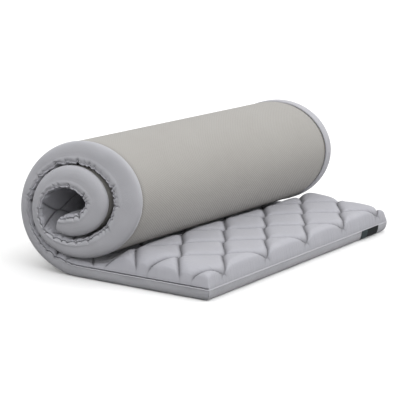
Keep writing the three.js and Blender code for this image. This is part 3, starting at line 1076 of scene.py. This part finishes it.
# A border across an end, mitred into the side borders
def addEndBorder(name, node, distanceOf, edge, body):
    height = edge - band["seamDrop"]
    steps = np.linspace(0, 1, band["endSteps"])[:, None]
    share = np.full(len(steps), band["tailShoulderShare"])
    offsets, heights, isOuter = bandSection(np.full(len(steps), height), share)
    e = np.maximum(offsets, 0) + mattress["gap"]
    y = lerp(e, mattress["width"] - e, steps)
    uneven = waver(y, heights, band["unevenWave"], band["unevenSeeds"]["end"])
    pillow = band["uneven"] * uneven * isOuter
    s = distanceOf(y, offsets + pillow * np.sin(math.pi * np.clip(heights / height, 0, 1)))
    points = place(s, y, heights)
    normals, isTurned = outwardNormals(points)
    cloth = np.stack([y, np.broadcast_to(bandRun(offsets, heights), y.shape)], -1)
    mesh = closedMesh(name, points, normals, cloth, {"creaseShade": 0 * y}, isTurned)
    piece = addPiece(name, mesh, bandCloth)
    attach(piece, body)
    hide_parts(node)


addMeshCover()
addWaddingSheet()
addQuiltedTop()
addSideBorder("near")
addSideBorder("far")
headBody = bodyName(mattress["slices"])
addEndBorder("border_tail", "end_band_tail", tailEndDistance, layers["tailEdge"], bodyName(0))
addEndBorder("border_head", "end_band_head", headDistance, layers["headEdge"], headBody)
print("borders made")

# Open-cell polyurethane foam: cream and chalky; its pores are drawn at three times their real size
foam = {"light": "F0E8D2", "dark": "E2D8BD", "pore": 0.0012, "poreDepth": 0.0006, "roughness": 0.95}


def foamMaterial():
    material, tree, shader = startMaterial("openCellFoam", foam)
    spot = addNode(tree, "ShaderNodeTexCoord").outputs["Object"]
    pores = addNode(tree, "ShaderNodeTexVoronoi", {"Vector": spot, "Scale": 1 / foam["pore"]})
    inputs = {0: pores, 6: colour(foam["dark"]), 7: colour(foam["light"])}
    tint = addNode(tree, "ShaderNodeMix", inputs, data_type="RGBA")
    bump = addNode(tree, "ShaderNodeBump", {"Height": pores, "Distance": foam["poreDepth"]})
    tree.links.new(tint.outputs[2], shader.inputs["Base Color"])
    tree.links.new(bump.outputs[0], shader.inputs["Normal"])
    return material


def dressCore():
    material = foamMaterial()
    for name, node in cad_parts.items():
        if name.startswith("foam_core"):
            node.data.materials.clear()
            node.data.materials.append(material)


dressCore()
print("core dressed")

labelTape = {
    "width": 0.062,
    "height": 0.0150,
    "thickness": 0.0006,
    "fromCorner": 0.037,
    "rise": 0.0022,
    "cornerPower": 0.35,
    "foldShare": 0.34,  # the paler folded part at one end
    "black": "15181A",
    "charcoal": "3A4244",
    "rib": 0.0008,
    "ribDepth": 0.0001,
    "steps": 40,
    "aroundPoints": 32,
    "roughness": 0.85,
    "shine": 0.18,
}


# Woven damask tape, blank: ribs across it, near black with a paler folded end
def labelMaterial():
    material, tree, shader = startMaterial("wovenDamaskTape", labelTape)
    shader.inputs["Specular IOR Level"].default_value = labelTape["shine"]
    spot = addNode(tree, "ShaderNodeUVMap", uv_map="cloth")
    split = addNode(tree, "ShaderNodeSeparateXYZ", {0: spot})
    foldEnd = labelTape["width"] * labelTape["foldShare"]
    isFold = addNode(tree, "ShaderNodeMath", {0: split.outputs[0], 1: foldEnd}, operation="LESS_THAN")
    inputs = {0: isFold, 6: colour(labelTape["black"]), 7: colour(labelTape["charcoal"])}
    tint = addNode(tree, "ShaderNodeMix", inputs, data_type="RGBA")
    inputs = {0: split.outputs[1], 1: 2 * math.pi / labelTape["rib"]}
    turn = addNode(tree, "ShaderNodeMath", inputs, operation="MULTIPLY")
    rib = addNode(tree, "ShaderNodeMath", {0: turn}, operation="SINE")
    bump = addNode(tree, "ShaderNodeBump", {"Height": rib, "Distance": labelTape["ribDepth"]})
    tree.links.new(tint.outputs[2], shader.inputs["Base Color"])
    tree.links.new(bump.outputs[0], shader.inputs["Normal"])
    return material


# The tape follows the band's outer face: its shoulder below, then the bulging side
def addLabel():
    start = mattress["width"] - labelTape["fromCorner"] - labelTape["width"]
    steps = np.linspace(0, 1, labelTape["steps"])[:, None]
    angle = np.linspace(0, 2 * math.pi, labelTape["aroundPoints"], endpoint=False)

    def corner(value):
        return np.sign(value) * np.abs(value) ** labelTape["cornerPower"]

    height = layers["tailEdge"] - band["seamDrop"]
    shoulder = band["tailShoulderShare"] * height
    rise = labelTape["rise"] + labelTape["height"] * (0.5 + 0.5 * corner(np.sin(angle)))
    under = 1 - np.clip(rise / shoulder, 0, 1) ** (1 / band["shoulderPower"])
    inward = band["shoulder"] * (1 - np.sqrt(1 - under**2))
    outward = band["uneven"] - inward
    lift = labelTape["thickness"] * (1.0 + 0.5 * corner(np.cos(angle)))
    y = start + labelTape["width"] * steps + 0 * rise
    points = place(tailEndDistance(y, -(outward + lift)), y, rise + 0 * y)
    normals, isTurned = outwardNormals(points)
    cloth = np.stack([y - start, rise + 0 * y], -1)
    mesh = closedMesh("woven_label", points, normals, cloth, {}, isTurned)
    piece = addPiece("woven_label_tape", mesh, labelMaterial())
    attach(piece, "tail")
    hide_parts("woven_label")


addLabel()

view = {
    "heading": math.radians(60.672),
    "drop": math.radians(11.331),
    "roll": math.radians(2.537),
    "reach": 2.505054,
    "across": -0.017849,
    "up": 0.143939,
    "lens": 164.853,
    "sensor": 36,
    "farthest": 50,
}


def addCamera():
    camera = addObject("camera", bpy.data.cameras.new("camera"))
    camera.data.lens = view["lens"]
    camera.data.sensor_width = view["sensor"]
    camera.data.clip_end = view["farthest"]
    heading, drop, roll = view["heading"], view["drop"], view["roll"]
    sideways = Vector((math.sin(heading), math.cos(heading), 0))
    away = Vector((-math.cos(heading), math.sin(heading), 0))
    skyward = Vector((0, 0, 1))
    upright = away * math.sin(drop) + skyward * math.cos(drop)
    forward = away * math.cos(drop) - skyward * math.sin(drop)
    toRight = sideways * math.cos(roll) + upright * math.sin(roll)
    toTop = upright * math.cos(roll) - sideways * math.sin(roll)
    camera.location = (
        sideways * view["across"]
        - away * view["reach"] * math.cos(drop)
        + skyward * (view["up"] + view["reach"] * math.sin(drop))
        + Vector(frameShift)
    )
    camera.rotation_euler = Matrix((toRight, toTop, -forward)).transposed().to_euler()
    bpy.context.scene.camera = camera


studio = {
    "floor": "FAFAFA",
    "floorSide": 14.0,
    "roughness": 0.9,  # of the floor
    "worldStrength": 1.03,
    "spread": math.radians(90),
    "softboxes": {
        "frontSoftbox": {"strength": 0.9, "tilt": 60, "heading": -72},
        "rightSoftbox": {"strength": 1.15, "tilt": 63, "heading": 16},
    },
}


def addStudio():
    mesh = bpy.data.meshes.new("floor")
    side = studio["floorSide"]
    corners = [(-side, -side, 0), (side, -side, 0), (side, side, 0), (-side, side, 0)]
    mesh.from_pydata(corners, [], [(0, 1, 2, 3)])
    floor = addObject("floor", mesh)
    material, _, shader = startMaterial("paleFloor", studio)
    shader.inputs["Base Color"].default_value = colour(studio["floor"])
    mesh.materials.append(material)
    floor.visible_diffuse = False  # throws no light up onto the mattress
    world = bpy.data.worlds.new("studio")
    world.use_nodes = True
    back = world.node_tree.nodes["Background"]
    direction = addNode(world.node_tree, "ShaderNodeTexCoord").outputs["Generated"]
    height = addNode(world.node_tree, "ShaderNodeSeparateXYZ", {0: direction}).outputs[2]
    isSky = addNode(world.node_tree, "ShaderNodeMath", {0: height, 1: 0.0}, operation="GREATER_THAN")
    strength = {0: isSky, 1: studio["worldStrength"]}
    sky = addNode(world.node_tree, "ShaderNodeMath", strength, operation="MULTIPLY")
    back.inputs["Color"].default_value = (1, 1, 1, 1)
    world.node_tree.links.new(sky.outputs[0], back.inputs["Strength"])
    bpy.context.scene.world = world
    for name, softbox in studio["softboxes"].items():
        sun = addObject(name, bpy.data.lights.new(name, "SUN"))
        sun.data.energy = softbox["strength"]
        sun.data.angle = studio["spread"]
        tilt, heading = math.radians(softbox["tilt"]), math.radians(softbox["heading"])
        level = Vector((math.cos(heading), math.sin(heading), 0))
        toSun = level * math.sin(tilt) + Vector((0, 0, math.cos(tilt)))
        sun.rotation_euler = toSun.to_track_quat("Z", "Y").to_euler()
    bpy.context.scene.view_settings.view_transform = "Standard"


addCamera()
addStudio()
